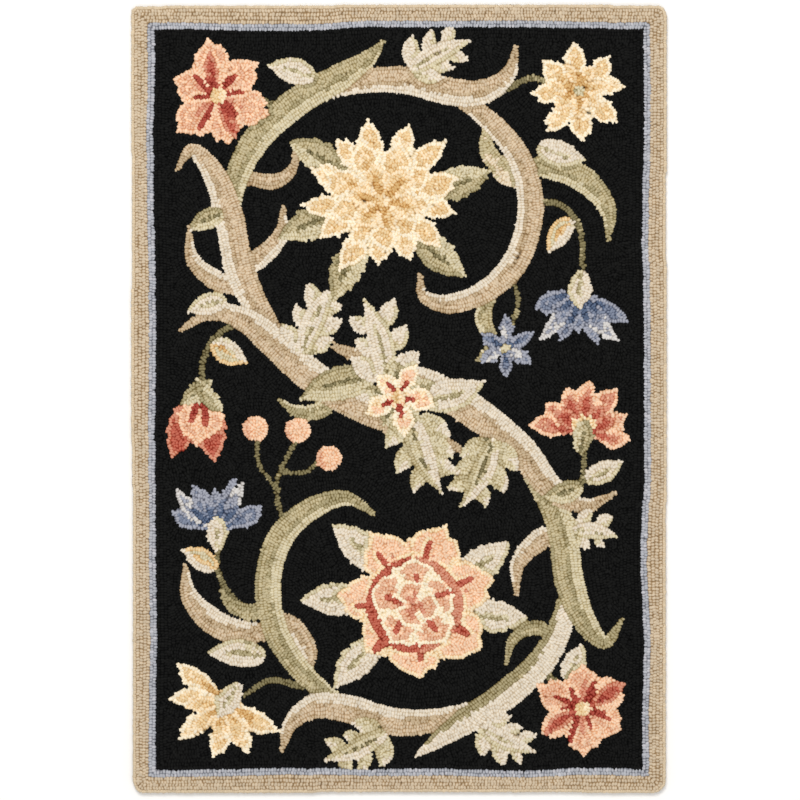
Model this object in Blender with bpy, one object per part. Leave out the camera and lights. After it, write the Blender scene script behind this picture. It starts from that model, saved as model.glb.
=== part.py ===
"""Hooked rug, a small oblong wool mat lying flat.

A hooked rug is worked in one piece: wool yarn is pulled up in loops through one canvas, whose
hem is folded under and held by the coat on its back. So the solid is one closed slab: a thin
cloth at the bottom, and on it the pile, which overhangs the cloth a little all round and rolls
over at its rim, where the outermost row of loops leans outwards.

Metres, +Z up, +Y along the rug. The origin is at the middle of the underside, on the floor.
"""

from math import cos, pi, radians, sin

import bmesh
import bpy
from mathutils import Vector

# Driving dimensions, in metres
RUG_WIDTH = 0.611
RUG_LENGTH = 0.900
CLOTH_THICKNESS = 0.0025
PILE_HEIGHT = 0.0065
PILE_OVERHANG = 0.0012
RIM_ROLL = 0.0045

# The corners, anticlockwise seen from above. Each was cut and hooked by eye, so it strays a
# little from the true corner of the oblong, and no two radii are alike.
CORNERS = [
    {"name": "front_left", "side": (-1, -1), "stray": (0.0018, -0.0004), "radius": 0.013},
    {"name": "front_right", "side": (1, -1), "stray": (-0.0002, -0.0001), "radius": 0.015},
    {"name": "back_right", "side": (1, 1), "stray": (0.0002, 0.0003), "radius": 0.010},
    {"name": "back_left", "side": (-1, 1), "stray": (-0.0009, -0.0006), "radius": 0.009},
]

# The edges, each from the corner in the same place of the table above to the next one. Its
# waves swing it out and in, and its bow moves its middle outwards, or inwards where it is
# negative. The angle is the way the edge faces, in degrees from +X.
EDGES = [
    {"name": "front", "faces": -90, "swing": 0.0005, "waves": 1.0, "phase": 0.02, "bow": -0.0014},
    {"name": "right", "faces": 0, "swing": 0.0003, "waves": 2.0, "phase": 0.25, "bow": 0.0002},
    {"name": "back", "faces": 90, "swing": 0.0004, "waves": 1.0, "phase": 0.00, "bow": 0.0012},
    {"name": "left", "faces": 180, "swing": 0.0012, "waves": 2.1, "phase": 0.25, "bow": 0.0},
]

# How finely the outline and the rolled rim are drawn
EDGE_STEP = 0.020
CORNER_STEPS = 8
ROLL_STEPS = 5

WOOL_COLOUR = (0.045, 0.040, 0.036, 1.0)
WOOL_ROUGHNESS = 0.92


def clear_scene():
    for obj in list(bpy.data.objects):
        bpy.data.objects.remove(obj, do_unlink=True)


def heading(degrees):
    return Vector((cos(radians(degrees)), sin(radians(degrees))))


def edge_offset(edge, share):
    """How far outwards the edge lies at this share of its length, fading to nothing at its ends."""
    wave = edge["swing"] * sin(2 * pi * (edge["waves"] * share + edge["phase"]))
    return sin(pi * share) * (wave + edge["bow"])


def edge_points(edge, start, end):
    """Points from start up to, but not including, end, moved outwards by the edge's own waves."""
    outwards = heading(edge["faces"])
    steps = round((end - start).length / EDGE_STEP)
    shares = [step / steps for step in range(steps)]
    return [start.lerp(end, share) + outwards * edge_offset(edge, share) for share in shares]


def corner_points(centre, radius, first_degrees):
    """A quarter circle, without its last point, which begins the next edge."""
    turns = [first_degrees + 90 * step / CORNER_STEPS for step in range(CORNER_STEPS)]
    return [centre + radius * heading(degrees) for degrees in turns]


def corner_centre(corner):
    """The middle of a corner's quarter circle, one radius in from the corner along both edges."""
    half = Vector((RUG_WIDTH / 2, RUG_LENGTH / 2))
    side = Vector(corner["side"])
    return side * half + Vector(corner["stray"]) - side * corner["radius"]


def rug_outline():
    """The rug's outline seen from above, anticlockwise, from the start of its front edge."""
    points = []
    for index, edge in enumerate(EDGES):
        corner, after = CORNERS[index], CORNERS[(index + 1) % len(CORNERS)]
        outwards = heading(edge["faces"])
        start = corner_centre(corner) + outwards * corner["radius"]
        end = corner_centre(after) + outwards * after["radius"]
        points += edge_points(edge, start, end)
        points += corner_points(corner_centre(after), after["radius"], edge["faces"])
    return points


def centred(points):
    """The same outline, moved so that its box is centred on the origin."""
    xs = [point.x for point in points]
    ys = [point.y for point in points]
    middle = Vector(((min(xs) + max(xs)) / 2, (min(ys) + max(ys)) / 2))
    return [point - middle for point in points]


def inset(points, distance):
    """The outline moved inwards by a distance, square to the line between each point's neighbours."""
    moved = []
    for index, point in enumerate(points):
        along = points[(index + 1) % len(points)] - points[index - 1]
        inwards = Vector((-along.y, along.x)).normalized()
        moved.append(point + inwards * distance)
    return moved


def rim_profile():
    """(inset, height) of each ring, from the underside up the cloth's edge and over the rim."""
    top = CLOTH_THICKNESS + PILE_HEIGHT
    profile = [
        (PILE_OVERHANG, 0.0),
        (PILE_OVERHANG, CLOTH_THICKNESS),
        (0.0, CLOTH_THICKNESS + PILE_OVERHANG),
    ]
    for step in range(ROLL_STEPS + 1):
        angle = pi / 2 * step / ROLL_STEPS
        profile.append((RIM_ROLL * (1 - cos(angle)), top - RIM_ROLL * (1 - sin(angle))))
    return profile


def make_material():
    material = bpy.data.materials.new("hooked_wool")
    material.use_nodes = True
    shader = material.node_tree.nodes["Principled BSDF"]
    shader.inputs["Base Color"].default_value = WOOL_COLOUR
    shader.inputs["Roughness"].default_value = WOOL_ROUGHNESS
    shader.inputs["Metallic"].default_value = 0.0
    return material


def make_slab(outline):
    """One closed body: a ring of vertices for each step of the rim's profile, bridged and capped."""
    slab = bmesh.new()
    rings = [
        [slab.verts.new((point.x, point.y, height)) for point in inset(outline, distance)]
        for distance, height in rim_profile()
    ]
    for lower, upper in zip(rings, rings[1:]):
        for index in range(len(lower)):
            after = (index + 1) % len(lower)
            slab.faces.new((lower[index], lower[after], upper[after], upper[index]))
    slab.faces.new(list(reversed(rings[0])))
    slab.faces.new(rings[-1])
    return slab


def make_rug():
    slab = make_slab(centred(rug_outline()))
    mesh = bpy.data.meshes.new("hooked_rug")
    slab.to_mesh(mesh)
    slab.free()
    mesh.shade_smooth()
    mesh.set_sharp_from_angle(angle=radians(36))
    mesh.materials.append(make_material())
    rug = bpy.data.objects.new("hooked_rug", mesh)
    bpy.context.scene.collection.objects.link(rug)
    return rug


clear_scene()
make_rug()
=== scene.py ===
# Hooked wool rug: some forty thousand separate loops of yarn, hooked in rows through a canvas.
# Lengths are in millimetres until a mesh is made, and then in metres, in the frame's own axes.

from math import log, log2, pi, radians

import bpy
import numpy as np
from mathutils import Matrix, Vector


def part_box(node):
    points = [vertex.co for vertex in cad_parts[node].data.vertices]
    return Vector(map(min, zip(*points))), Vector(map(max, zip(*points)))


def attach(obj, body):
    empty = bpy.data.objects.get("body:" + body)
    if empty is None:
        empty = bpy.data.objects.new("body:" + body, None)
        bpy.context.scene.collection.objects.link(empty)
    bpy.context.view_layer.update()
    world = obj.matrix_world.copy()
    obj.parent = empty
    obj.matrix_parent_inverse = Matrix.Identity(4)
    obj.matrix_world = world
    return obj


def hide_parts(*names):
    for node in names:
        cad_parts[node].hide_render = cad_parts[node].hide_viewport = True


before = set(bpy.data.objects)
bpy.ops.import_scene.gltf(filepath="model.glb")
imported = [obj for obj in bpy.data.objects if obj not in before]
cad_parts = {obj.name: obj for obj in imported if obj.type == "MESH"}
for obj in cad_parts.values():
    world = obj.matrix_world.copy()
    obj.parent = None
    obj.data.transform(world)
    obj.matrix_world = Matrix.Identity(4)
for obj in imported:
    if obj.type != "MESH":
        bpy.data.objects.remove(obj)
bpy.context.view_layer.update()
dice = np.random.default_rng(11)
mm = 0.001


# Size of the rug and of its loops

rug = {
    "clothThick": 2.5,     # canvas with its coat
    "hemWide": 34.0,       # turned under and stuck down
    "hemThick": 0.9,
    "clothInset": 1.4,     # the outermost loops hang over the cloth's edge by this much
}

pile = {
    "along": 3.15,         # from one loop to the next in its row
    "across": 4.05,        # from one row to the next
    "borderAlong": 3.5,    # the border is worked in a coarser stitch
    "borderAcross": 4.0,
    "top": 8.45,           # height of the loops above the floor
    "shoulder": 7.4,
    "endDrop": 0.22,       # the loop's two ends lie this much below its flanks, so that its row shows
    "foot": 5.45,
    "borderFoot": 5.1,
    "rimFoot": 2.3,        # the outermost row hangs down beside the canvas
    "fillAlong": 1.0,      # loop's width over its place in the row
    "fillAcross": 1.26,    # neighbouring rows lie tight against each other
    "borderFill": 1.32,    # and the border's rows reach in between one another
    "shoulderWide": 0.93,  # shares of the loop's own half widths
    "footWide": 2.15,      # so that no canvas shows between the loops
    "borderFootWide": 1.95,
    "rimFootWide": 1.0,
    "rimTight": 1.6,       # its loops are pressed together
    "rimLean": 0.2,
    "rimDrop": 0.8,
    "sides": 6,
    "uneven": 0.20,        # spread of the heights
    "stray": 0.24,         # spread of the places
    "borderStray": 0.28,
    "rimStray": 0.16,
    "sizeSpread": 0.07,
    "turn": 10.0,          # spread of the headings, in degrees
}

lineYarns = ["lavender", "lavender", "lavender", "lilac"]

# Rows of the border, from the outline inwards: how far in each one lies, its yarns, how far its
# loops slant from square to the row, its own stitch as a share of the border's, and how much the
# row takes part in the border's wander
borderRows = [
    {"depth": 2.2, "yarns": ["rim"], "slant": 0, "stitch": 0.66, "wander": 0.0},
    {"depth": 5.6, "yarns": ["tan"], "slant": 15, "stitch": 0.95, "wander": 0.1},
    {"depth": 9.5, "yarns": ["tan"], "slant": -18, "stitch": 1.04, "wander": 0.3},
    {"depth": 13.4, "yarns": ["tan"], "slant": 14, "stitch": 0.97, "wander": 0.6},
    {"depth": 17.3, "yarns": ["tan"], "slant": -12, "stitch": 1.02, "wander": 0.9},
    {"depth": 21.1, "yarns": lineYarns, "slant": 6, "stitch": 0.93, "wander": 1.0},
    {"depth": 24.9, "yarns": lineYarns, "slant": -6, "stitch": 0.96, "wander": 1.0},
]
fieldDepth = 27.0          # where the black field begins
wanderSize = 1.5           # how far the lavender line strays from its straight run


# Yarns, as sRGB, and the palettes made of them, each from its darkest yarn to its lightest

yarns = {
    "black": "#111110", "tan": "#cab89e", "rim": "#d2bfa2", "lavender": "#aeafb4", "lilac": "#bcbbbf",
    "umber": "#a98f6c", "taupe": "#bfaa8b", "fawn": "#cfbb9f", "oat": "#dccdb4",
    "olive": "#817755", "sage": "#a99d79", "reed": "#bfb28f", "straw": "#d1c6a8",
    "linen": "#ded3c1", "ivory": "#f0e3ca",
    "ochre": "#d0aa72", "butter": "#e1c69a", "cream": "#edd9b8",
    "wine": "#a74b3d", "rust": "#bc6652", "salmon": "#d09278", "peach": "#dfb496", "blush": "#ebc9ab",
    "navy": "#56647c", "slate": "#7c8496", "mist": "#9fa1ab", "pearl": "#d0ccc8",
}

palettes = {
    "ground": ["black"],
    "taupe": ["umber", "taupe", "fawn", "oat"],
    "sage": ["olive", "sage", "reed", "straw"],
    "pale": ["sage", "reed", "oat", "linen"],
    "bone": ["oat", "linen", "linen", "linen"],
    "rush": ["reed", "straw", "straw", "linen"],
    "leaf": ["olive", "sage", "reed", "straw"],
    "husk": ["sage", "straw", "linen", "linen"],
    "fern": ["olive", "reed", "straw", "linen"],
    "dock": ["ochre", "butter", "straw", "linen"],
    "twig": ["olive", "sage"],
    "cream": ["ochre", "butter", "cream", "ivory"],
    "gold": ["ochre", "butter", "butter", "cream"],
    "peach": ["rust", "salmon", "peach", "blush"],
    "shell": ["salmon", "peach", "blush", "blush"],
    "blossom": ["salmon", "blush", "blush", "cream"],
    "coral": ["wine", "rust", "rust", "salmon"],
    "rose": ["salmon", "peach", "blush", "ivory"],
    "apple": ["salmon", "blush", "cream", "ivory"],
    "blue": ["navy", "slate", "mist", "mist"],
    "ice": ["mist", "mist", "pearl", "pearl"],
    "wine": ["wine", "rust"],
    "navy": ["navy", "slate"],
    "ochre": ["ochre", "butter"],
    "stamen": ["sage", "straw"],
}
yarnNames = list(yarns)
paletteNames = list(palettes)
shadings = ["plain", "petal", "leaf", "lobe", "stem", "ball", "mark"]


# The chart: one cell for each square millimetre, which says what is drawn there

cell = 1.0
lowCorner, highCorner = (np.array(corner[:2]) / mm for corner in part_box("hooked_rug"))
chartX = np.arange(lowCorner[0] - 3, highCorner[0] + 3, cell)
chartY = np.arange(lowCorner[1] - 3, highCorner[1] + 3, cell)
chartShape = (len(chartY), len(chartX))
chart = {name: np.zeros(chartShape, int) for name in ("region", "palette", "shading")}
chart.update({name: np.zeros(chartShape) for name in ("u", "v")})


# A Catmull-Rom curve through given points: each stretch is the cubic that leaves and
# reaches its end points along the line between their neighbours
def smoothLine(points, step=1.8):
    points = np.array(points, float)
    points = np.vstack([2 * points[0] - points[1], points, 2 * points[-1] - points[-2]])
    before, start, end, after = points[:-3], points[1:-2], points[2:-1], points[3:]
    count = max(2, int(np.linalg.norm(end - start, axis=1).max() / step))
    t = np.linspace(0, 1, count, endpoint=False)[:, None]
    stretch = [
        0.5 * (2 * b + (c - a) * t + (2 * a - 5 * b + 4 * c - d) * t**2 + (3 * b - a - 3 * c + d) * t**3)
        for a, b, c, d in zip(before, start, end, after)
    ]
    return np.vstack(stretch + [points[-2][None]])


# Draws a band on the chart: the cells whose nearest point of the line is closer than the band's
# half width on that side. u runs from 0 to 1 along the line, and v from -1 on the right to 1 on
# the left. A shape with several bands passes its region's number on
def paint(line, left, right, palette, shading, region=None):
    tangent = np.gradient(line, axis=0)
    tangent /= np.linalg.norm(tangent, axis=1)[:, None]
    margin = max(left.max(), right.max()) + 2
    start = [chartX[0], chartY[0]]
    first = np.maximum(((line.min(0) - margin - start) / cell).astype(int), 0)
    last = ((line.max(0) + margin - start) / cell).astype(int) + 1
    area = (slice(first[1], last[1]), slice(first[0], last[0]))
    x, y = np.meshgrid(chartX[area[1]], chartY[area[0]])
    nearest = np.argmin((x[..., None] - line[:, 0]) ** 2 + (y[..., None] - line[:, 1]) ** 2, axis=2)
    dx, dy = x - line[nearest, 0], y - line[nearest, 1]
    across = tangent[nearest, 0] * dy - tangent[nearest, 1] * dx
    along = tangent[nearest, 0] * dx + tangent[nearest, 1] * dy
    half = np.where(across > 0, left[nearest], right[nearest])
    inside = (np.abs(across) <= half) & (np.abs(along) <= 2.0)
    region = region or chart["region"].max() + 1
    values = {"region": region, "palette": paletteNames.index(palette), "shading": shadings.index(shading),
              "u": (nearest / (len(line) - 1))[inside], "v": (across / np.maximum(half, 1e-6))[inside]}
    for name, value in values.items():
        chart[name][area][inside] = value
    return region


# The middle line of a petal or leaf, whose heading turns evenly by bend, and the heading along it
def spine(base, heading, length, bend):
    share = np.linspace(0, 1, max(8, int(length / 1.6)))
    angle = heading + bend * (share - 0.5)
    steps = np.stack([np.cos(np.radians(angle)), np.sin(np.radians(angle))], 1) * length / (len(share) - 1)
    return np.array(base) + np.vstack([[0, 0], np.cumsum(steps[:-1], 0)]), angle, share


# A petal or leaf. The half width is a sine of the share s of the length, warped so that its top lies
# at widest, to a power that grows towards the tip. On each side a saw of its own widens it by
# ragged, a tooth every 13 mm or so
def blade(base, heading, length, width, palette, shading="petal", widest=0.5, blunt=0.8, bend=0,
          ragged=0.0, region=None):
    line, _, share = spine(base, heading, length, bend)
    power = blunt * (1 + 0.7 * (share - 0.5) * (ragged > 0))
    half = width / 2 * np.sin(pi * share ** (log(0.5) / log(widest))) ** power
    saws = [(length / 13 * share + dice.random()) % 1 - 0.5 for _ in range(2)]
    left, right = (np.maximum(half * (1 + ragged * saw * np.minimum(1, 2.5 * share)), 0.01) for saw in saws)
    return paint(line, left, right, palette, shading, region)


def polar(origin, degrees, radius):
    return np.array(origin) + radius * np.array([np.cos(radians(degrees)), np.sin(radians(degrees))])


# A ring or a fan of petals around a centre, sized in shares of the flower's radius. Each petal is
# a little longer, wider or more turned than the next, as drawn by hand, and may have a side point
# on one flank or on both. Those on the heading's side are the longer ones, by lift. Marks are veins
# of even width
def petalRing(centre, radius, heading, lift, count, palette, start, length, width, aim=0, span=360,
              shading="petal", widest=0.54, blunt=0.85, wild=1.0, ragged=0.28, points=0):
    if shading == "mark":
        blunt, ragged = 0.3, 0.0
    for index in range(count):
        share = index / count if span == 360 else (index + 0.5) / count - 0.5
        angle = heading + aim + span * share + dice.normal() * wild * 8 / count * span / 360
        base = polar(centre, angle, radius * start)
        longer = 1 + lift * np.cos(radians(angle - heading)) + 0.07 * wild * dice.normal()
        long, wide = radius * length * longer, radius * width * (1 + 0.06 * wild * dice.normal())
        bend = 14 * wild * dice.normal()
        region = None
        for side in dice.permutation([-1, 1])[:points]:
            spread = side * np.degrees(0.36 * wide / long)
            region = blade(base, angle + spread, long * (0.84 + 0.06 * dice.random()), wide * 0.72,
                           palette, shading, widest + 0.1, blunt, bend, ragged, region)
        blade(base, angle, long, wide * (1 - 0.12 * points), palette, shading, widest, blunt, bend,
              ragged, region)


def disc(centre, radius, palette, shading="ball"):
    blade(np.array(centre) - [0, radius], 90, radius * 2, radius * 2, palette, shading, blunt=0.5)


# A scroll or a twig. Its edge is a band of another palette along its right side, which swells from
# nothing and tapers off again as a sine of u
def stem(points, widths, palette, edge=None):
    line = smoothLine(points)
    half = np.interp(np.linspace(0, 1, len(line)), np.linspace(0, 1, len(widths)), widths) / 2
    region = paint(line, half, half, palette, "stem")
    if edge:
        band = 0.72 * np.sqrt(np.clip(np.sin(pi * np.clip(1.08 * chart["u"] - 0.06, 0, 1)), 0, 1))
        here = (chart["region"] == region) & (chart["v"] < band - 1)
        chart["palette"][here] = paletteNames.index(edge)


def leaf(x, y, heading, length, width, palette="leaf", bend=20, ragged=0.12):
    blade((x, y), heading, length, width, palette, "leaf", 0.42, 0.8, bend, ragged)


# A leaf cut into pointed lobes: pairs of blades along its middle line, which curl forwards and get
# shorter towards the tip, under a narrow leaf
def lobedLeaf(x, y, heading, length, width, palette="husk", bend=24, lobes=3):
    line, angle, _ = spine((x, y), heading, length, bend)
    for index in range(lobes):
        share = (index + 0.35) / (lobes + 0.9)
        at = int(share * len(line))
        for side in (-1, 1):
            long = width * (0.80 - 0.34 * share) * (1 + 0.08 * dice.normal())
            blade(line[at], angle[at] + side * (56 - 14 * share), long, 0.56 * long, palette, "lobe",
                  0.46, 0.75, -34 * side, 0.08)
    blade((x, y), heading, length, 0.46 * width, palette, "leaf", 0.40, 0.8, bend, 0.12)


# The flowers, each a list of rings from the outermost to the heart. Sizes are shares of the
# flower's radius, and aims are degrees from its heading

blooms = {
    "rose": [
        dict(disc=0.5, palette="coral"),
        dict(count=7, palette="blossom", start=0.26, length=0.76, width=0.62, points=2),
        dict(count=7, palette="coral", start=0.48, length=0.32, width=0.08, aim=5, shading="mark",
             wild=2),
        dict(disc=0.61, palette="coral"),
        dict(count=5, palette="rose", start=0.06, length=0.54, width=0.58, aim=22),
        dict(count=5, palette="coral", start=0.14, length=0.34, width=0.075, aim=20, shading="mark",
             wild=2),
        dict(count=3, palette="rose", start=0.0, length=0.32, width=0.4, aim=50),
    ],
    "peony": [
        dict(disc=0.55, palette="gold"),
        dict(count=13, palette="cream", start=0.24, length=0.78, width=0.32, points=1),
        dict(count=9, palette="cream", start=0.14, length=0.62, width=0.38, aim=14, points=1),
        dict(count=6, palette="gold", start=0.02, length=0.46, width=0.34, aim=4),
        dict(count=6, palette="ochre", start=0.08, length=0.3, width=0.07, aim=4, shading="mark",
             wild=2),
        dict(disc=0.09, palette="gold"),
    ],
    "briar": [
        dict(disc=0.44, palette="shell"),
        dict(count=6, palette="shell", start=0.06, length=0.95, width=0.64, points=2),
        dict(count=2, palette="coral", start=0.08, length=0.88, width=0.3, aim=4, points=1,
             ragged=0.1),
        dict(count=4, palette="wine", start=0.1, length=0.54, width=0.092, aim=40, shading="mark",
             wild=2),
        dict(count=6, palette="wine", start=0.12, length=0.36, width=0.09, aim=22, shading="mark",
             wild=3),
        dict(disc=0.16, palette="gold"),
    ],
    "sunStar": [
        dict(disc=0.4, palette="gold"),
        dict(count=8, palette="cream", start=0.08, length=0.94, width=0.46, points=1),
        dict(count=7, palette="gold", start=0.04, length=0.58, width=0.28, aim=20),
        dict(count=6, palette="ochre", start=0.06, length=0.36, width=0.1, shading="mark", wild=2),
        dict(disc=0.12, palette="stamen"),
    ],
    "bell": [
        dict(count=4, palette="blue", start=0.1, length=0.94, width=0.38, span=172, points=1),
        dict(count=2, palette="ice", start=0.05, length=1.06, width=0.3, aim=4, span=150),
        dict(count=3, palette="blue", start=0.0, length=0.8, width=0.36, span=94, points=1),
        dict(count=4, palette="navy", start=0.08, length=0.52, width=0.11, span=124, shading="mark"),
        dict(count=1, palette="husk", start=-0.42, length=0.72, width=0.42, span=0, shading="leaf",
             blunt=0.7),
    ],
    "pink": [
        dict(count=7, palette="peach", start=0.2, length=0.82, width=0.42, span=204, points=1),
        dict(count=5, palette="coral", start=0.1, length=0.64, width=0.34, span=140, points=1),
        dict(count=4, palette="gold", start=0.02, length=0.38, width=0.22, span=100),
        dict(count=1, palette="sage", start=-0.4, length=0.74, width=0.44, span=0, shading="leaf",
             blunt=0.7),
    ],
    "tulip": [
        dict(count=2, palette="coral", start=0.0, length=1.12, width=0.48, span=66, wild=0.3),
        dict(count=1, palette="shell", start=0.0, length=1.02, width=0.6, span=0, points=2),
        dict(count=2, palette="wine", start=0.06, length=0.56, width=0.11, span=44, shading="mark"),
        dict(count=2, palette="sage", start=-0.16, length=0.62, width=0.24, span=184, shading="leaf"),
    ],
    "lily": [
        dict(count=6, palette="cream", start=0.05, length=0.98, width=0.38, span=224, points=1),
        dict(count=4, palette="gold", start=0.0, length=0.74, width=0.32, span=130, points=1),
        dict(count=1, palette="husk", start=-0.4, length=0.7, width=0.42, span=0, shading="leaf",
             blunt=0.7),
    ],
    "blueStar": [
        dict(disc=0.36, palette="blue"),
        dict(count=6, palette="blue", start=0.05, length=0.98, width=0.5, ragged=0.2),
        dict(count=3, palette="ice", start=0.1, length=0.64, width=0.26, aim=8, ragged=0.2),
        dict(disc=0.16, palette="stamen"),
    ],
    "apple": [
        dict(count=5, palette="leaf", start=0.1, length=0.86, width=0.46, aim=36, shading="leaf"),
        dict(disc=0.36, palette="apple"),
        dict(count=5, palette="apple", start=0.05, length=0.98, width=0.62, points=1),
        dict(count=5, palette="wine", start=0.1, length=0.42, width=0.13, shading="mark", wild=2),
        dict(disc=0.19, palette="gold"),
    ],
}


def bloom(kind, x, y, radius, heading=90, lift=0.0):
    for ring in blooms[kind]:
        if "disc" in ring:
            disc((x, y), radius * ring["disc"], ring["palette"])
        else:
            petalRing((x, y), radius, heading, lift, **ring)


# Where everything grows: two scrolls of overlapping horns, each around a large flower, with
# smaller flowers on twigs in the corners and along the sides. Points are in millimetres from the
# middle. Widths are spread evenly along the points

twigs = [
    ([(-128, 330), (-160, 342), (-190, 340)], [8, 7, 6]),
    ([(110, 346), (150, 366), (180, 356)], [8, 7, 6]),
    ([(150, 222), (184, 222), (206, 196), (210, 150)], [8, 7, 6]),
    ([(-170, 92), (-206, 74), (-224, 44), (-224, 14)], [8, 7, 6]),
    ([(-150, -250), (-186, -232), (-206, -200), (-208, -172)], [8, 7, 6]),
    ([(186, -118), (208, -98), (212, -62)], [8, 7, 6]),
    ([(-110, -330), (-146, -322), (-176, -338)], [8, 7, 6]),
    ([(150, -306), (178, -322), (200, -344)], [8, 7, 6]),
    ([(-132, -142), (-140, -96), (-118, -48)], [6, 5, 5]),
    ([(-138, -104), (-160, -74), (-162, -44)], [5, 5, 5]),
    ([(-134, -84), (-108, -84), (-92, -72)], [5, 5, 5]),
    ([(126, 150), (136, 110), (124, 74)], [6, 5, 5]),
]

# The horns, each with its points, its widths, its palette and the palette of its edge
scrolls = [
    ([(-140, -262), (-180, -268), (-216, -252), (-240, -224), (-244, -190)],
     [16, 30, 30, 20, 5], "taupe", "bone"),
    ([(-150, -240), (-170, -244), (-192, -236), (-204, -218)], [12, 20, 14, 4], "sage"),
    ([(140, 262), (178, 264), (214, 248), (238, 218), (240, 182)], [16, 30, 30, 20, 5], "sage", "rush"),
    ([(-188, 150), (-160, 160), (-136, 186), (-132, 220)], [20, 24, 18, 5], "taupe", "bone"),
    ([(-178, 254), (-144, 248), (-122, 262), (-118, 290)], [16, 18, 12, 4], "taupe"),
    ([(150, 246), (122, 258), (100, 288), (104, 320)], [18, 26, 18, 5], "pale"),
    ([(188, -150), (160, -162), (136, -188), (134, -224)], [20, 26, 18, 5], "taupe", "bone"),
    ([(184, -268), (152, -262), (130, -276), (122, -304)], [16, 18, 12, 4], "sage"),
    ([(-150, -250), (-122, -262), (-102, -290), (-108, -322)], [18, 26, 18, 5], "taupe", "bone"),
    ([(-180, 126), (-210, 136), (-236, 160), (-240, 196)], [18, 24, 16, 4], "taupe", "bone"),
    ([(104, 120), (96, 92), (106, 66), (90, 44)], [16, 20, 14, 4], "sage", "rush"),
    ([(-66, 6), (-92, -14), (-118, -14), (-138, 0)], [18, 20, 14, 4], "sage", "rush"),

    ([(40, 354), (96, 324), (138, 274), (150, 214), (134, 158), (98, 122), (56, 108), (28, 118),
      (24, 142)], [8, 22, 28, 30, 30, 26, 22, 14, 5], "taupe", "bone"),
    ([(-120, 330), (-62, 358), (4, 364), (62, 350), (100, 352), (126, 372), (134, 402)],
     [8, 24, 32, 32, 28, 18, 5], "taupe", "bone"),
    ([(-186, 168), (-190, 232), (-166, 292), (-118, 338), (-70, 366), (-36, 388), (-18, 408)],
     [8, 24, 32, 34, 32, 20, 5], "sage", "rush"),
    ([(-254, 262), (-236, 284), (-210, 254), (-194, 206), (-180, 142), (-146, 78), (-96, 20)],
     [4, 16, 27, 34, 34, 26, 8], "taupe", "bone"),
    ([(74, -60), (24, -36), (-34, -14), (-92, 20), (-140, 62), (-176, 90), (-214, 98), (-250, 78)],
     [8, 26, 34, 38, 36, 28, 17, 5], "taupe", "bone"),

    ([(-36, -362), (-94, -328), (-136, -276), (-150, -216), (-136, -160), (-100, -126), (-60, -114),
      (-28, -132)], [8, 22, 28, 30, 30, 26, 17, 5], "sage", "rush"),
    ([(122, -332), (66, -362), (0, -370), (-60, -354), (-98, -352), (-124, -372), (-134, -402)],
     [8, 24, 32, 32, 28, 18, 5], "taupe", "bone"),
    ([(190, -168), (192, -232), (168, -294), (120, -340), (74, -370), (42, -392), (20, -408)],
     [8, 24, 32, 34, 30, 18, 5], "bone", "sage"),
    ([(255, -252), (236, -278), (212, -254), (194, -206), (184, -142), (150, -78), (96, -18)],
     [4, 16, 27, 34, 34, 26, 8], "sage", "rush"),
    ([(248, -108), (212, -122), (176, -104), (140, -60), (90, -18), (34, 16), (-24, 38), (-74, 60)],
     [5, 17, 28, 36, 38, 34, 26, 8], "taupe", "bone"),
]

# The leaves: x, y, heading, length, width, palette, bend and, where lobed, the number of lobes
leaves = [
    (-200, 212, 206, 46, 24),
    (-96, 366, 166, 58, 30, "husk"),
    (198, 206, 236, 50, 26, "dock"),
    (-214, 66, 330, 50, 28, "dock"),
    (212, -92, 26, 50, 26, "husk"),
    (210, -98, 196, 50, 25, "leaf", -30),
    (-152, -296, 176, 70, 32, "husk"),
    (-208, -196, 150, 48, 26, "dock"),
    (188, -322, 64, 50, 26, "husk"),
    (158, 290, 344, 60, 30, "husk"),
    (-196, 112, 196, 50, 26, "husk"),
    (-28, 22, 196, 92, 40, "leaf", 34),
    (20, 2, 14, 84, 38, "husk", 40),
]
lobedLeaves = [
    (12, 374, 26, 82, 50, "husk", -24),
    (-110, 50, 64, 92, 56, "husk", -30),
    (108, -44, 244, 92, 56, "fern", -30),
    (198, -150, 350, 56, 40, "husk", -24, 2),
    (-14, -380, 204, 84, 50, "fern", -24),
    (92, -374, 336, 76, 46, "husk", 20),
    (-14, 18, 106, 104, 64, "husk", 26),
    (14, -18, 292, 100, 62, "fern", 26),
]

# Leaves that stand out from behind a large flower: how far out they begin, and their headings
sprays = [
    {"x": -18, "y": 226, "start": 54, "headings": [16, 148, 200, 244, 318], "palette": "leaf"},
    {"x": 18, "y": -236, "start": 58, "headings": [-6, 34, 136, 178, 226], "palette": "husk"},
]
sprayLeaf = {"length": 76, "width": 38, "ragged": 0.2}

# The flowers: kind, x, y, radius, heading and how much longer the petals on that side are
flowers = [
    ("rose", 18, -236, 91, 70, 0.08),
    ("peony", -18, 226, 89, 100, 0.12),
    ("briar", -206, 346, 60, 100),
    ("sunStar", 206, 352, 56, 95),
    ("bell", 208, 122, 62, 266),
    ("tulip", -224, 14, 80, 262),
    ("bell", -208, -150, 60, 94),
    ("lily", -196, -346, 66, 236),
    ("briar", 210, -354, 56, 30),
    ("pink", 210, -40, 60, 82),
    ("blueStar", 122, 58, 34),
    ("apple", 0, 2, 42, 60),
]

berries = [(-116, -36), (-164, -34), (-80, -68)]
berryRadius = 15


def drawField():
    for twig in twigs:
        stem(*twig, "twig")
    for horn in scrolls:
        stem(*horn)
    for row in leaves:
        leaf(*row)
    for row in lobedLeaves:
        lobedLeaf(*row)
    for spray in sprays:
        for heading in spray["headings"]:
            foot = polar((spray["x"], spray["y"]), heading, spray["start"])
            leaf(*foot, heading, palette=spray["palette"], **sprayLeaf)
    for row in flowers:
        bloom(*row)
    for centre in berries:
        disc(centre, berryRadius, "shell")


# Distances on the chart

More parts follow.
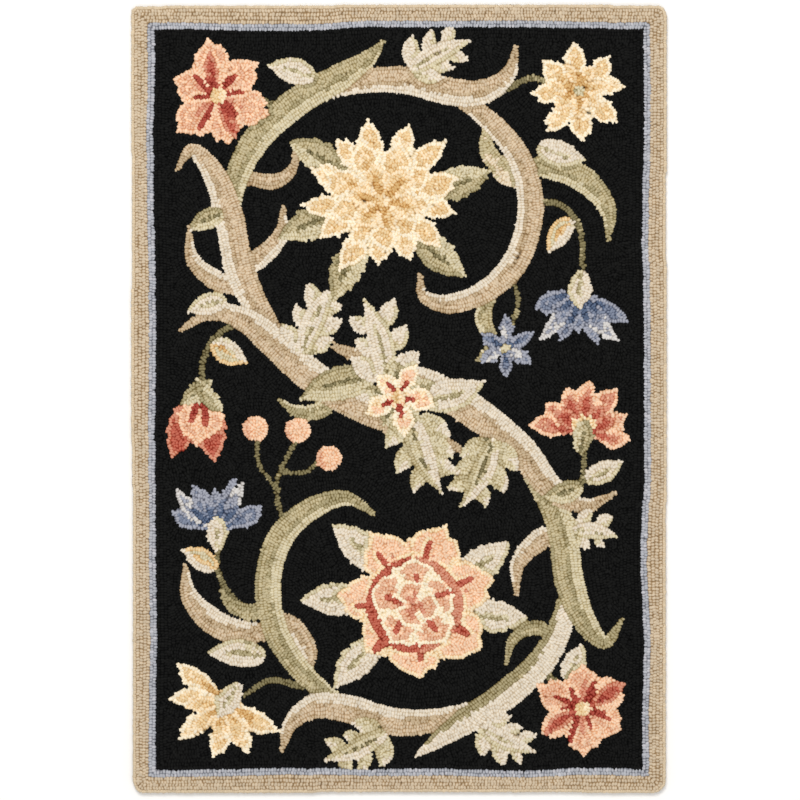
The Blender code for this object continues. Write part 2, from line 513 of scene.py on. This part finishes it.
# The distance from each cell to the nearest marked one, no further than reach: the nearest in the
# cell's own column first, then the shortest way over the columns beside it
def distanceTo(marked, reach):
    steps = int(reach / cell)
    rows = np.arange(chartShape[0])[:, None]
    below = np.maximum.accumulate(np.where(marked, rows, -10**6), axis=0)
    above = np.minimum.accumulate(np.where(marked, rows, 10**6)[::-1], axis=0)[::-1]
    column = np.minimum(rows - below, above - rows).astype(float) ** 2
    padded = np.pad(column, ((0, 0), (steps, steps)), constant_values=1e12)
    best = np.full(chartShape, 1e12)
    for shift in range(-steps, steps + 1):
        best = np.minimum(best, padded[:, steps + shift:steps + shift + chartShape[1]] + shift**2)
    return np.minimum(np.sqrt(best) * cell, reach)


# The mean of a cell and its neighbours, as many times as asked
def blurred(field, times):
    for _ in range(times):
        padded = np.pad(field, 1, mode="edge")
        field = (padded[:-2, 1:-1] + padded[2:, 1:-1] + padded[1:-1, :-2] + padded[1:-1, 2:] + 4 * field) / 8
    return field


# Smooth noise of about unit spread whose bumps are size apart: random values on a coarse grid, with
# straight runs between them
def smoothNoise(size):
    coarse = dice.normal(size=(int(chartShape[0] * cell / size) + 3, int(chartShape[1] * cell / size) + 3))
    row, column = np.arange(chartShape[0]) * cell / size, np.arange(chartShape[1]) * cell / size
    j, i = row.astype(int), column.astype(int)
    b, a = (row - j)[:, None], (column - i)[None, :]
    near = coarse[j][:, i] * (1 - a) + coarse[j][:, i + 1] * a
    far = coarse[j + 1][:, i] * (1 - a) + coarse[j + 1][:, i + 1] * a
    return near * (1 - b) + far * b


# The cells inside a closed outline: each of its edges flips the cells to its right, on the rows
# that it crosses
def insideOutline(outline):
    inside = np.zeros(chartShape, bool)
    for (x0, y0), (x1, y1) in zip(outline, np.roll(outline, -1, axis=0)):
        crossed = (chartY >= min(y0, y1)) & (chartY < max(y0, y1))
        at = x0 + (chartY[crossed] - y0) * (x1 - x0) / (y1 - y0 if y1 != y0 else 1)
        inside[crossed] ^= chartX[None, :] > at[:, None]
    return inside


# The rug's outline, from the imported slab: the points of its widest ring, in order round the middle
def rugOutline():
    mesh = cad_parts["hooked_rug"].data
    places = np.empty(len(mesh.vertices) * 3)
    mesh.vertices.foreach_get("co", places)
    places = np.unique(np.round(places.reshape(-1, 3) / mm, 3), axis=0)
    heights, counts = np.unique(places[:, 2], return_counts=True)
    rings = [places[places[:, 2] == height] for height in heights[counts > 100]]
    widest = max(rings, key=lambda ring: np.ptp(ring[:, 0]))[:, :2]
    return widest[np.argsort(np.arctan2(widest[:, 1], widest[:, 0]))]


# Rows of loops

# Loops along the lines where a field crosses a level. Every side of a cell that the level crosses
# holds a point, and every cell links its points with the higher side on the left. Doubling the
# links gives each point its way along the closed line, and a loop stands where that way passes a
# whole number of spacings. A row is (x, y, heading)
def rowsAt(field, level, spacing):
    height, width = field.shape
    high = field > level
    code = high[:-1, :-1] + 2 * high[:-1, 1:] + 4 * high[1:, 1:] + 8 * high[1:, :-1]
    j, i = np.nonzero((code > 0) & (code < 15))
    code = code[j, i]
    half = height * width
    sides = {"bottom": j * width + i, "top": (j + 1) * width + i,
             "left": half + j * width + i, "right": half + j * width + i + 1}
    links = {1: ["bottom left"], 2: ["right bottom"], 3: ["right left"], 4: ["top right"],
             5: ["bottom left", "top right"], 6: ["top bottom"], 7: ["top left"], 8: ["left top"],
             9: ["bottom top"], 10: ["right bottom", "left top"], 11: ["right top"],
             12: ["left right"], 13: ["bottom right"], 14: ["left bottom"]}
    pairs = [(sides[way.split()[0]][code == kind], sides[way.split()[1]][code == kind])
             for kind, ways in links.items() for way in ways]
    start, end = (np.concatenate(part) for part in zip(*pairs))
    if len(start) == 0:
        return np.zeros((0, 3))
    order = np.argsort(start)
    start, end = start[order], end[order]
    after = np.searchsorted(start, end)

    upright = start >= half
    row, column = np.divmod(start - half * upright, width)
    here = field[row, column]
    there = field[row + upright, column + ~upright]
    share = (level - here) / (there - here)
    place = np.stack([chartX[0] + (column + share * ~upright) * cell,
                      chartY[0] + (row + share * upright) * cell], 1)
    length = np.linalg.norm(place[after] - place, axis=1)

    doublings = int(log2(len(start))) + 1
    first, jump = np.arange(len(start)), after.copy()
    for _ in range(doublings):
        first, jump = np.minimum(first, first[jump]), jump[jump]
    head = first == np.arange(len(start))
    left, jump = np.where(head, 0, length), np.where(head, first, after)
    for _ in range(doublings):
        left, jump = left + left[jump], jump[jump]
    whole = (left[after] + length)[first]
    pitch = whole / np.maximum(np.round(whole / spacing), 1)
    begin, finish = np.where(head, whole, left) / pitch, left[after] / pitch
    mark = np.floor(begin - 0.25) + 0.25
    hit = (mark >= finish) & (mark < begin) & (whole > 2.2 * spacing)
    share = ((begin - mark) / np.maximum(begin - finish, 1e-9))[hit, None]
    spot = place[hit] * (1 - share) + place[after[hit]] * share
    way = (place[after[after[hit]]] - place[hit])
    return np.column_stack([spot, np.arctan2(way[:, 1], way[:, 0])])


# Cells of the chart under some points
def cellsUnder(points):
    column = np.clip(np.rint((points[:, 0] - chartX[0]) / cell).astype(int), 0, chartShape[1] - 1)
    row = np.clip(np.rint((points[:, 1] - chartY[0]) / cell).astype(int), 0, chartShape[0] - 1)
    return row, column


# Leaves out each loop that has one of an earlier row closer than the gap: the loops are dealt into
# square bins as wide as the gap, and each is measured against those in the nine bins round it
def thinned(loops, level, gap):
    bins = np.floor((loops[:, :2] - [chartX[0], chartY[0]]) / gap).astype(int) + 2
    stride = bins[:, 1].max() + 3
    key = bins[:, 0] * stride + bins[:, 1]
    order = np.argsort(key, kind="stable")
    rank = np.arange(len(key)) - np.searchsorted(key[order], key[order])
    table = np.full((key.max() + stride + 2, rank.max() + 1), -1)
    table[key[order], rank] = order
    around = [table[key + dx * stride + dy] for dx in (-1, 0, 1) for dy in (-1, 0, 1)]
    other = np.concatenate(around, axis=1)
    far = np.linalg.norm(loops[:, None, :2] - loops[other, :2], axis=2)
    place = np.arange(len(loops))[:, None]
    earlier = (level[other] < level[:, None]) | ((level[other] == level[:, None]) & (other < place))
    crowded = (other >= 0) & (other != place) & earlier & (far < gap)
    return ~crowded.any(axis=1)


# The way across the rows: the doubled angle of the distance's slope, blurred, so that the two
# slopes of a ridge agree
def rowHeadings(distance):
    slopeY, slopeX = np.gradient(distance)
    double = 2 * np.arctan2(slopeY, slopeX)
    weight = np.hypot(slopeX, slopeY)
    s, c = blurred(np.sin(double) * weight, 6), blurred(np.cos(double) * weight, 6)
    return np.arctan2(s, c) / 2 + pi / 2


def fieldLoops(field, distance):
    rows = [rowsAt(distance, (level + 0.5) * pile["across"], pile["along"]) for level in range(16)]
    loops = np.vstack(rows)
    level = np.concatenate([np.full(len(row), index) for index, row in enumerate(rows)])
    loops = loops[thinned(loops, level, 0.74 * pile["along"])]
    headings = rowHeadings(distance)
    for _ in range(5):
        filled = np.zeros(chartShape, bool)
        filled[cellsUnder(loops)] = True
        empty = distanceTo(filled, 8) + 0.01 * dice.random(chartShape)
        empty = np.where(field & (distance > 0.4), empty, 0)
        largest = empty
        for shift in range(1, 4):
            for axis in (0, 1):
                beside = np.maximum(np.roll(empty, shift, axis), np.roll(empty, -shift, axis))
                largest = np.maximum(largest, beside)
        row, column = np.nonzero((empty == largest) & (empty > 0.84 * pile["along"]))
        fresh = np.column_stack([chartX[column], chartY[row], headings[row, column]])
        loops = np.vstack([loops, fresh[thinned(fresh, np.zeros(len(fresh)), 0.8 * pile["along"])]])
    return loops


# How light each loop's yarn is, from 0 to 1, by what it lies in. A petal is plain, streaked by sines
# of v, other ones in each petal, and every other row is darker. A dark tongue rises from its base,
# and its flanks and tip have a light outermost row. A leaf is plain, with a short dark midrib and a
# dark right edge
def toneOf(loops, distance, drift):
    cells = cellsUnder(loops)
    u, v, region = chart["u"][cells], chart["v"][cells], chart["region"][cells]
    row = np.floor(distance[cells] / pile["across"])
    rim, everyOther = row == 0, row % 2
    side = np.abs(v)
    tongues = np.sin(4.7 * v + 2.4 * region) + 0.6 * np.sin(9.1 * v + 1.3 * region + 2 * u)
    midrib = (side < 0.17) & (u > 0.08) & (u < 0.66)
    rightRim = rim * (v < 0)
    lightRim = rim * ((side > 0.42) | (u > 0.8)) * (u > 0.2)
    tongue = np.clip(1.5 * (0.62 + 0.12 * tongues - u) / 0.62, 0, 1) * np.clip(1.8 - 2.6 * side, 0, 1)
    tones = {
        "plain": 0.3 + 0 * u,
        "petal": 0.57 + 0.035 * tongues - 0.10 * everyOther + 0.28 * lightRim
                 - 0.44 * tongue * (1 - lightRim),
        "leaf": 0.68 + 0.10 * np.sign(v) + 0.05 * u - 0.50 * midrib - 0.26 * rightRim,
        "lobe": 0.40 + 0.42 * u + 0.06 * np.sign(v) - 0.16 * rightRim,
        "stem": 0.50 + 0.18 * v - 0.16 * rim * (v > 0),
        "ball": 0.62 - 0.30 * v + 0.1 * u,
        "mark": 0.20 + 0.35 * u,
    }
    tone = np.choose(chart["shading"][cells], [tones[name] for name in shadings])
    return tone + 0.05 * drift[cells] + 0.02 * dice.normal(size=len(loops))


def yarnOf(loops, tone):
    palette = chart["palette"][cellsUnder(loops)]
    yarn = np.zeros(len(loops), int)
    for index, name in enumerate(paletteNames):
        steps = np.array([yarnNames.index(one) for one in palettes[name]])
        here = palette == index
        yarn[here] = steps[np.clip((tone[here] * len(steps)).astype(int), 0, len(steps) - 1)]
    return yarn


# Everything that is hooked, as one table: a row for each loop, a named column for each of its facts
def hookRug():
    drawField()
    print("chart drawn:", chart["region"].max(), "shapes")
    inside = insideOutline(rugOutline())
    depth = distanceTo(~inside, 45) - cell / 2
    wander = wanderSize * np.clip(smoothNoise(90), -1.5, 1.5)
    field = depth + wander > fieldDepth
    for name in ("region", "palette", "shading"):
        chart[name][~field] = 0
    chart["region"][~field] = -1
    region = chart["region"]
    edge = np.zeros(chartShape, bool)
    edge[:, 1:] |= region[:, 1:] != region[:, :-1]
    edge[1:] |= region[1:] != region[:-1]
    distance = blurred(distanceTo(edge, 70), 2) + 0.38 * smoothNoise(9) + 0.22 * smoothNoise(5)
    loops = fieldLoops(field, np.where(field, distance, 0))
    tone = toneOf(loops, distance, smoothNoise(20))
    parts = [loopColumns(loops, yarnOf(loops, tone), pile["along"], pile["across"])]
    smoothDepth = blurred(depth, 2)
    for row in borderRows:
        waver = 0.28 * smoothNoise(14) * (row["depth"] > 3)
        line = rowsAt(smoothDepth + row["wander"] * wander + waver, row["depth"],
                      pile["borderAlong"] * row["stitch"])
        yarn = dice.choice([yarnNames.index(name) for name in row["yarns"]], len(line))
        columns = loopColumns(line, yarn, pile["borderAlong"], pile["borderAcross"])
        columns["heading"] = line[:, 2] + radians(row["slant"])
        outermost = row is borderRows[0]
        columns["foot"][:] = pile["rimFoot"] if outermost else pile["borderFoot"]
        columns["footWide"][:] = pile["rimFootWide"] if outermost else pile["borderFootWide"]
        columns["stray"][:] = pile["rimStray"] if outermost else pile["borderStray"]
        columns["across"] *= pile["borderFill"] / pile["fillAcross"]
        if outermost:
            columns["along"] *= row["stitch"] * pile["rimTight"]
            columns["lean"] = pile["rimLean"] * np.stack([np.sin(line[:, 2]), -np.cos(line[:, 2])], 1)
            columns["drop"] += pile["rimDrop"]
        parts.append(columns)
    return {name: np.concatenate([part[name] for part in parts]) for name in parts[0]}


def loopColumns(loops, yarn, along, across):
    count = len(loops)
    return {
        "place": loops[:, :2], "heading": loops[:, 2], "yarn": yarn,
        "along": np.full(count, along), "across": np.full(count, across),
        "lean": np.zeros((count, 2)), "drop": np.zeros(count),
        "foot": np.full(count, pile["foot"]), "footWide": np.full(count, pile["footWide"]),
        "stray": np.full(count, pile["stray"]),
    }


# Loops as meshes

# A loop seen from above is an oval, long across its row. Its rings are that oval times a share of
# its half widths: a wide foot, a shoulder that drops towards both ends, and a crown point at the top
def loopMesh(name, table, yarn):
    count, sides = len(table["place"]), pile["sides"]
    angle = np.arange(sides) * 2 * pi / sides + pi / 2
    oval = np.stack([np.cos(angle), np.sin(angle)], 1)
    size = 1 + pile["sizeSpread"] * np.clip(dice.normal(size=(count, 1, 1)), -2, 2)
    half = np.stack([table["along"] * pile["fillAlong"], table["across"] * pile["fillAcross"]], 1)
    half = half[:, None] / 2 * size
    rise = pile["uneven"] * np.clip(dice.normal(size=count), -1.6, 1.6) - table["drop"]
    turn = table["heading"] + np.radians(pile["turn"]) * dice.normal(size=count)
    turned = np.stack([np.cos(turn), np.sin(turn), -np.sin(turn), np.cos(turn)], 1).reshape(-1, 2, 2)
    centre = table["place"] + table["stray"][:, None] * np.clip(dice.normal(size=(count, 2)), -2, 2)
    tip = centre + table["lean"] + 0.2 * dice.normal(size=(count, 2))
    ends = np.clip(2 * np.abs(np.sin(angle)) - 1, 0, 1)

    def ring(share, middle, height, endDrop):
        local = oval * half * share
        spot = middle[:, None] + local @ turned
        return np.concatenate([spot, (height[:, None] - endDrop * ends)[..., None]], 2), local

    foot, footLocal = ring(table["footWide"][:, None, None], centre, table["foot"], 0)
    shoulder, shoulderLocal = ring(pile["shoulderWide"], (centre + tip) / 2,
                                   pile["shoulder"] + rise, pile["endDrop"])
    crown = np.column_stack([tip, pile["top"] + rise])[:, None]
    points = np.concatenate([foot, shoulder, crown], 1).reshape(-1, 3) * mm
    local = np.concatenate([footLocal, shoulderLocal, np.zeros((count, 1, 2))], 1)

    around, beside = np.arange(sides), (np.arange(sides) + 1) % sides
    walls = np.concatenate([
        np.stack([around, beside, beside + sides], 1),
        np.stack([around, beside + sides, around + sides], 1),
        np.stack([around + sides, beside + sides, np.full(sides, 2 * sides)], 1),
        np.stack([np.zeros(sides - 2, int), beside[1:-1], around[1:-1]], 1),
    ])
    stride = 2 * sides + 1
    faces = (walls[None] + stride * np.arange(count)[:, None, None]).reshape(-1, 3)
    mesh = bpy.data.meshes.new(name)
    mesh.vertices.add(len(points))
    mesh.vertices.foreach_set("co", points.ravel())
    mesh.loops.add(faces.size)
    mesh.loops.foreach_set("vertex_index", faces.ravel().astype(np.int32))
    mesh.polygons.add(len(faces))
    mesh.polygons.foreach_set("loop_start", np.arange(0, faces.size, 3, dtype=np.int32))
    mesh.polygons.foreach_set("use_smooth", np.ones(len(faces), bool))
    mesh.update(calc_edges=True)

    offset = dice.random((count, 1, 2)) * 40
    plies = ((local + offset) / 10).reshape(-1, 2)[faces.ravel()]
    mesh.uv_layers.new(name="plies").data.foreach_set("uv", plies.ravel())
    shade = np.repeat(np.clip(dice.normal(size=count), -2, 2), stride)
    mesh.attributes.new("shade", "FLOAT", "POINT").data.foreach_set("value", shade)
    mesh.materials.append(woolMaterial(yarn))
    piece = bpy.data.objects.new(name, mesh)
    bpy.context.scene.collection.objects.link(piece)
    return piece


# Materials

def linear(hexColour):
    parts = [int(hexColour[index:index + 2], 16) / 255 for index in (1, 3, 5)]
    return [part / 12.92 if part <= 0.04045 else ((part + 0.055) / 1.055) ** 2.4 for part in parts] + [1.0]


# Adds one node, sets its properties and its sockets, and links it: links are (from socket, to socket name)
def addNode(tree, kind, settings=None, sockets=None, links=()):
    node = tree.nodes.new(kind)
    for name, value in (settings or {}).items():
        setattr(node, name, value)
    for name, value in (sockets or {}).items():
        node.inputs[name].default_value = value
    for source, name in links:
        tree.links.new(source, node.inputs[name])
    return node


# Hooked wool: a loose two-ply woollen yarn pulled up in loops. To the eye it is matt, since the
# pile traps the light that falls between its loops, and that shade is also painted into its colour
# low in the pile. It has a soft halo of fibre along the loops' edges and a faint slanting line
# between the plies
wool = {
    "rough": 0.9,
    "ior": 1.54,           # keratin
    "shine": 0.12,
    "halo": 0.25,
    "blackHalo": 0.1,
    "plyWidth": 1.3,       # mm across one ply
    "shadeSpread": 0.05,   # from loop to loop, as the dye took
    "blackSpread": 0.22,
    "fibreSpread": 0.14,
    # Painted shade: below these heights the yarn's colour is painted darker and deeper in hue, as the shade
    # between neighbouring loops
    "deep": 6.9,           # mm above the floor, where the yarn lies in its neighbours' shade
    "open": 7.9,           # and where it stands clear of them
    "rimDeep": 3.0,        # the same for the outermost row, which hangs lower
    "rimOpen": 6.5,
    "deepShade": 1.0,      # and how dark it is there: light that has met the yarn again takes on more
    "deepPower": 1.68,     # of its colour, so the yarn's own colour is raised to this power
    "borderPower": 2.0,    # and to this one in the border, whose coarser loops part further
    "relief": 0.25,        # mm
}


def woolMaterial(yarn):
    material = bpy.data.materials.new("hooked_wool_" + yarn)
    material.use_nodes = True
    tree = material.node_tree
    shader = tree.nodes["Principled BSDF"]
    shader.inputs["Roughness"].default_value = wool["rough"]
    shader.inputs["IOR"].default_value = wool["ior"]
    shader.inputs["Specular IOR Level"].default_value = wool["shine"]
    shader.inputs["Sheen Weight"].default_value = wool["blackHalo"] if yarn == "black" else wool["halo"]
    shader.inputs["Sheen Roughness"].default_value = 0.6
    shader.inputs["Sheen Tint"].default_value = linear(yarns[yarn])
    uv = addNode(tree, "ShaderNodeUVMap", {"uv_map": "plies"})
    slant = addNode(tree, "ShaderNodeMapping", sockets={"Rotation": (0, 0, radians(35))},
                    links=[(uv.outputs["UV"], "Vector")])
    ply = addNode(tree, "ShaderNodeTexWave", {"wave_type": "BANDS", "bands_direction": "X"},
                  {"Scale": 10 / wool["plyWidth"] / 3.2, "Distortion": 1.2, "Detail": 1.0,
                   "Detail Scale": 2.0},
                  [(slant.outputs["Vector"], "Vector")])
    fibre = addNode(tree, "ShaderNodeTexNoise", sockets={"Scale": 14.0, "Detail": 3.0},
                    links=[(uv.outputs["UV"], "Vector")])
    shade = addNode(tree, "ShaderNodeAttribute", {"attribute_name": "shade"})
    spread = addNode(tree, "ShaderNodeMath", {"operation": "MULTIPLY_ADD"},
                     {1: wool["blackSpread" if yarn == "black" else "shadeSpread"],
                      2: 1 - wool["fibreSpread"] / 2}, [(shade.outputs["Fac"], 0)])
    mix = addNode(tree, "ShaderNodeMath", {"operation": "MULTIPLY_ADD"}, {1: wool["fibreSpread"]},
                  [(fibre.outputs["Fac"], 0), (spread.outputs[0], 2)])
    place = addNode(tree, "ShaderNodeTexCoord")
    split = addNode(tree, "ShaderNodeSeparateXYZ", links=[(place.outputs["Object"], "Vector")])
    # Painted shade: from the deep height up to the open one, the base colour runs from a darker copy of the
    # yarn's own colour, raised to a power, up to the yarn's colour, as shade low in the pile
    deepest, highest = ("rimDeep", "rimOpen") if yarn == "rim" else ("deep", "open")
    clear = addNode(tree, "ShaderNodeMapRange", {"interpolation_type": "SMOOTHSTEP"},
                    {"From Min": wool[deepest] * mm, "From Max": wool[highest] * mm},
                    [(split.outputs["Z"], "Value")])
    own = linear(yarns[yarn])
    power = wool["borderPower" if yarn in ("tan", "lavender", "lilac") else "deepPower"]
    deep = [wool["deepShade"] * part**power for part in own[:3]] + [1.0]
    depth = addNode(tree, "ShaderNodeMix", {"data_type": "RGBA"}, {6: deep, 7: own},
                    [(clear.outputs["Result"], 0)])
    colour = addNode(tree, "ShaderNodeVectorMath", {"operation": "SCALE"},
                     links=[(depth.outputs[2], 0), (mix.outputs[0], "Scale")])
    tree.links.new(colour.outputs[0], shader.inputs["Base Color"])
    bump = addNode(tree, "ShaderNodeBump", sockets={"Strength": 0.5, "Distance": wool["relief"] * mm},
                   links=[(ply.outputs["Fac"], "Height")])
    tree.links.new(bump.outputs["Normal"], shader.inputs["Normal"])
    return material


# Cotton rug canvas with a brushed-on coat: a plain weave whose threads show through a dull, pale skin
canvas = {
    "thread": 1.6,         # mm from thread to thread
    "light": "#d9cdb4", "dark": "#b3a587",
    "rough": 0.8,
}


def canvasMaterial():
    material = bpy.data.materials.new("coated_cotton_canvas")
    material.use_nodes = True
    tree = material.node_tree
    shader = tree.nodes["Principled BSDF"]
    shader.inputs["Roughness"].default_value = canvas["rough"]
    shader.inputs["IOR"].default_value = 1.5
    place = addNode(tree, "ShaderNodeTexCoord")
    waves = [
        addNode(tree, "ShaderNodeTexWave", {"wave_type": "BANDS", "bands_direction": direction},
                {"Scale": 1 / (canvas["thread"] * mm) / 3.2 / 2, "Distortion": 0.4, "Detail": 2.0},
                [(place.outputs["Object"], "Vector")])
        for direction in ("X", "Y")
    ]
    weave = addNode(tree, "ShaderNodeMath", {"operation": "MULTIPLY"},
                    links=[(waves[0].outputs["Fac"], 0), (waves[1].outputs["Fac"], 1)])
    patches = addNode(tree, "ShaderNodeTexNoise", sockets={"Scale": 30.0, "Detail": 4.0},
                      links=[(place.outputs["Object"], "Vector")])
    both = addNode(tree, "ShaderNodeMath", {"operation": "MULTIPLY_ADD"}, {1: 0.6},
                   [(weave.outputs[0], 0), (patches.outputs["Fac"], 2)])
    colour = addNode(tree, "ShaderNodeMix", {"data_type": "RGBA"},
                     {6: linear(canvas["dark"]), 7: linear(canvas["light"])},
                     [(both.outputs[0], 0)])
    tree.links.new(colour.outputs[2], shader.inputs["Base Color"])
    bump = addNode(tree, "ShaderNodeBump", sockets={"Strength": 0.6, "Distance": 0.3 * mm},
                   links=[(weave.outputs[0], "Height")])
    tree.links.new(bump.outputs["Normal"], shader.inputs["Normal"])
    return material


# The canvas: the rug's outline drawn in by a share of its size for each step of a profile, which
# runs from the middle of the top, over the folded edge, under the hem and up its inner step
def canvasSheet():
    outline = rugOutline()
    halfSize = np.ptp(outline, axis=0) / 2
    inset, thick, hem = rug["clothInset"], rug["clothThick"], rug["hemWide"]
    under = rug["hemThick"]
    profile = np.array([
        [60, thick], [inset + 1.0, thick], [inset + 0.3, thick - 0.3], [inset, thick / 2],
        [inset + 0.3, 0.3], [inset + 1.0, 0], [hem, 0], [hem + 0.6, under * 0.4],
        [hem + 1.6, under], [60, under],
    ])
    rings = [np.column_stack([outline * (1 - distance / halfSize), np.full(len(outline), height)])
             for distance, height in profile]
    caps = [[0, 0, thick], [0, 0, under]]
    points = np.vstack(rings + [caps]) * mm
    count, steps = len(outline), len(profile)
    around, beside = np.arange(count), (np.arange(count) + 1) % count
    quads = [np.stack([around + step * count, around + (step + 1) * count, beside + (step + 1) * count,
                       beside + step * count], 1) for step in range(steps - 1)]
    top, bottom = steps * count, steps * count + 1
    fans = [np.stack([around, beside, np.full(count, top)], 1),
            np.stack([beside + (steps - 1) * count, around + (steps - 1) * count, np.full(count, bottom)], 1)]
    mesh = bpy.data.meshes.new("canvas_backing")
    faces = [list(map(int, face)) for group in (quads, fans) for face in np.vstack(group)]
    mesh.from_pydata(points, [], faces)
    mesh.shade_smooth()
    mesh.set_sharp_from_angle(angle=radians(40))
    mesh.materials.append(canvasMaterial())
    sheet = bpy.data.objects.new("canvas_backing", mesh)
    bpy.context.scene.collection.objects.link(sheet)
    return sheet


# The pieces

backing = canvasSheet()
print("canvas made")

loopTable = hookRug()
mostTriangles = 195000     # in one piece, which keeps each under the limit for a piece
mostLoops = mostTriangles // (4 * pile["sides"] - 2)
for index, yarn in enumerate(yarnNames):
    chosen = np.flatnonzero(loopTable["yarn"] == index)
    if len(chosen) == 0:
        continue
    chosen = chosen[np.argsort(loopTable["place"][chosen, 1])]
    shares = np.array_split(chosen, -(-len(chosen) // mostLoops))
    for number, share in enumerate(shares, 1):
        name = "pile_" + yarn + ("_" + str(number) if len(shares) > 1 else "")
        piece = loopMesh(name, {key: values[share] for key, values in loopTable.items()}, yarn)
        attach(piece, "root")

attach(backing, "root")
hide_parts("hooked_rug")
flatSize = tuple(float(size) * mm for size in np.ptp(rugOutline(), axis=0) - 2 * rug["clothInset"])


# Floor, light and camera

studio = {
    "floor": "#f6f5f3",
    "viewWidth": 0.9137,   # metres across the frame at the rug's top
    "distance": 3.4,
    "aim": (0.0015, -0.0012),
    "world": 0.54,
}


def addLight(name, place, size, power):
    lamp = bpy.data.lights.new(name, "AREA")
    lamp.shape = "DISK"
    lamp.size = size
    lamp.energy = power
    light = bpy.data.objects.new(name, lamp)
    bpy.context.scene.collection.objects.link(light)
    light.location = place
    toMiddle = -light.location
    light.rotation_euler = toMiddle.to_track_quat("-Z", "Y").to_euler()


floorMesh = bpy.data.meshes.new("floor")
floorCorners = [(6 * x, 6 * y, -0.0005) for x, y in ((-1, -1), (1, -1), (1, 1), (-1, 1))]
floorMesh.from_pydata(floorCorners, [], [(0, 1, 2, 3)])
floorMaterial = bpy.data.materials.new("matt_paint")
floorMaterial.use_nodes = True
floorMaterial.node_tree.nodes["Principled BSDF"].inputs["Base Color"].default_value = linear(studio["floor"])
floorMaterial.node_tree.nodes["Principled BSDF"].inputs["Roughness"].default_value = 0.9
floorMesh.materials.append(floorMaterial)
floor = bpy.data.objects.new("floor", floorMesh)
bpy.context.scene.collection.objects.link(floor)

world = bpy.data.worlds.new("studio")
world.use_nodes = True
world.node_tree.nodes["Background"].inputs["Color"].default_value = (1, 1, 1, 1)
world.node_tree.nodes["Background"].inputs["Strength"].default_value = studio["world"]
bpy.context.scene.world = world
addLight("key", (-0.35, 1.3, 2.8), 1.3, 51)
addLight("fill", (0.5, -1.1, 2.8), 1.8, 21.5)

cameraData = bpy.data.cameras.new("camera")
cameraData.sensor_width = 36
cameraData.lens = 36 * studio["distance"] / studio["viewWidth"]
camera = bpy.data.objects.new("camera", cameraData)
camera.location = (*studio["aim"], studio["distance"] + pile["top"] * mm)
bpy.context.scene.collection.objects.link(camera)
bpy.context.scene.camera = camera
bpy.context.scene.view_settings.view_transform = "Standard"
print("floor, lights and camera set")
